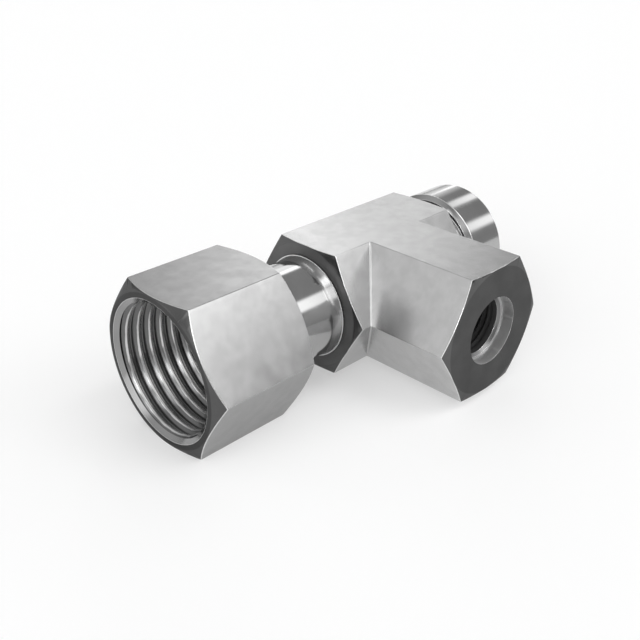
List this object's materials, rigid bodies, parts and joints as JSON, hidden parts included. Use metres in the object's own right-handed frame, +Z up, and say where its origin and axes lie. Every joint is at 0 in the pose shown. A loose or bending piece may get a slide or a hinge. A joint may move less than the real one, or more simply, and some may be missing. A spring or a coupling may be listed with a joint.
{
  "type": "tee adapter",
  "caption": "Tee adapter of mitred hexagon bar with a threaded swivel nut at one run end, a turned stub at the other and a tapped gauge port in the branch.",
  "frame": {"origin": "where the axis of the branch crosses the axis of the run", "axes": "+X along the run from the swivel nut to the turned stub, -Y out of the branch, +Z up, square to both axes and to the bar's top flat"},
  "size_m": [0.0625, 0.0364, 0.022],
  "materials": {
    "body_steel": "satin drawn hexagon flats, smooth turned end faces and stub",
    "turned_steel": "finely turned and polished",
    "nut_steel": "satin drawn flats, turned chamfers, bright thread",
    "seal_rubber": "smooth black rubber"
  },
  "bodies": {
    "tee": {"tee_body": "body_steel", "swivel_nipple": "turned_steel", "nose_o_ring": "seal_rubber"},
    "nut": {"swivel_nut": "nut_steel"}
  },
  "joints": [
    {"name": "nut_swivel", "type": "hinge", "parent": "tee", "child": "nut", "pos_m": [-0.0237, 0, 0], "axis": [1, 0, 0], "continuous": true}
  ]
}
